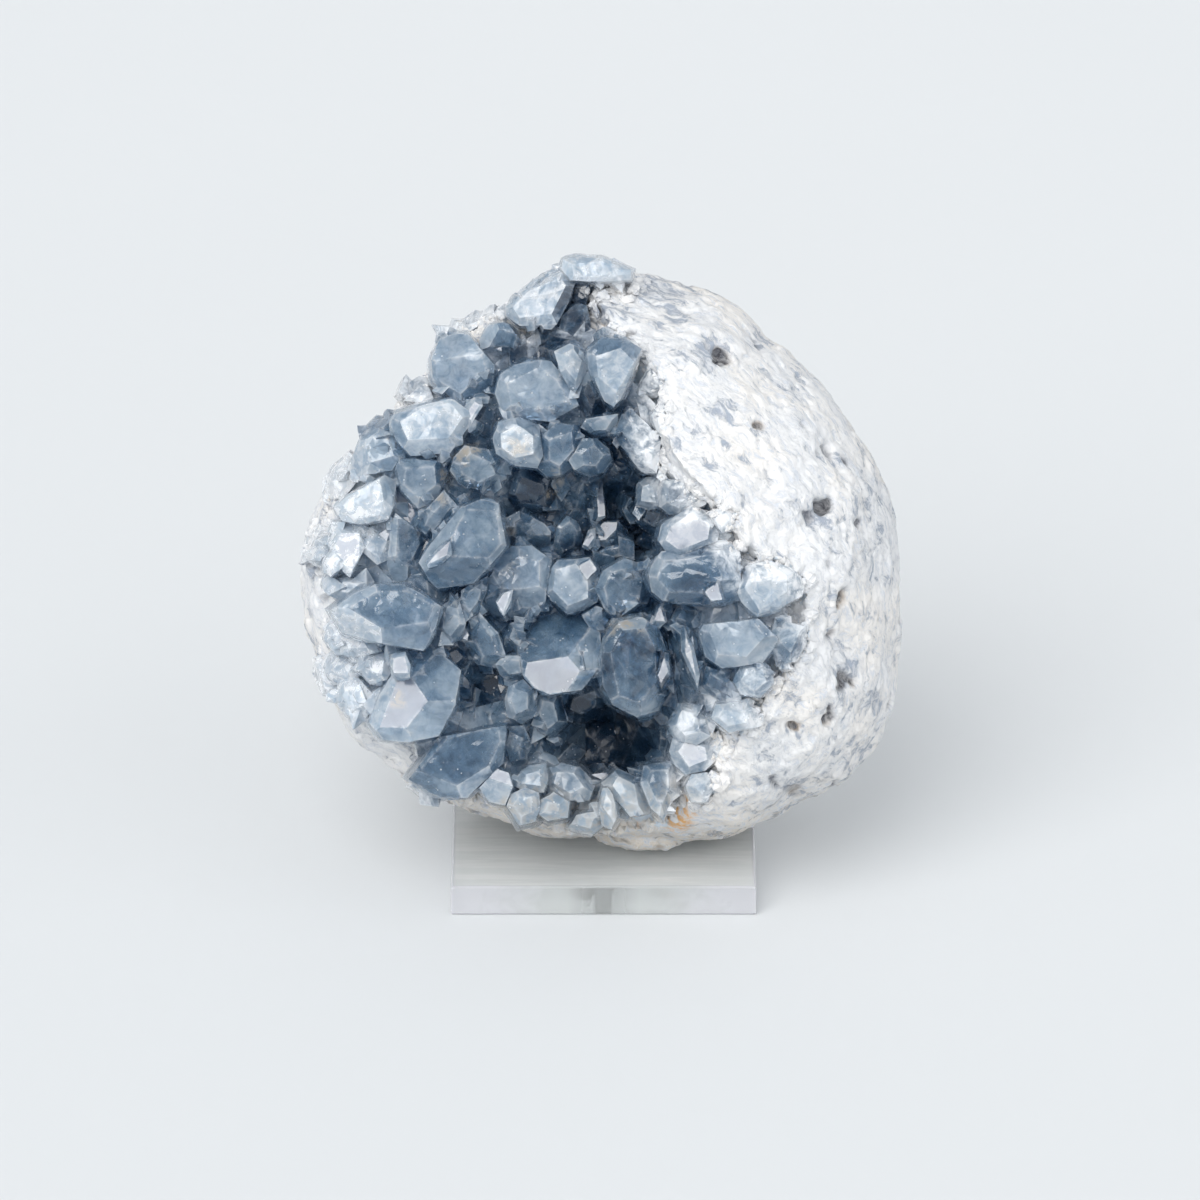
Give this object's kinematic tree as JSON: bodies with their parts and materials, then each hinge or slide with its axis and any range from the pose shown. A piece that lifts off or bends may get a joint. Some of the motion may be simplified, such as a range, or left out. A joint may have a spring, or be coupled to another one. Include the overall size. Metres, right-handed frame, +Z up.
{
  "type": "crystal geode on a display base",
  "caption": "Round white stone geode broken open in front on blue-grey crystals, fixed on a square clear display base.",
  "frame": {"origin": "centre of the display base's underside", "axes": "+Z up, -Y towards the open crystal side, +X to the right as the open side is seen from in front"},
  "size_m": [0.1257, 0.1107, 0.1315],
  "materials": {
    "white_rind": "chalky matt white with grey-blue patches",
    "blue_crystal": "glossy translucent blue-grey crystal",
    "clear_acrylic": "polished clear acrylic",
    "clear_stud": "clear threaded plastic"
  },
  "bodies": {
    "root": {"rind": "white_rind", "crystal_crust": "blue_crystal", "acrylic_base": "clear_acrylic", "threaded_stud": "clear_stud"}
  },
  "joints": []
}
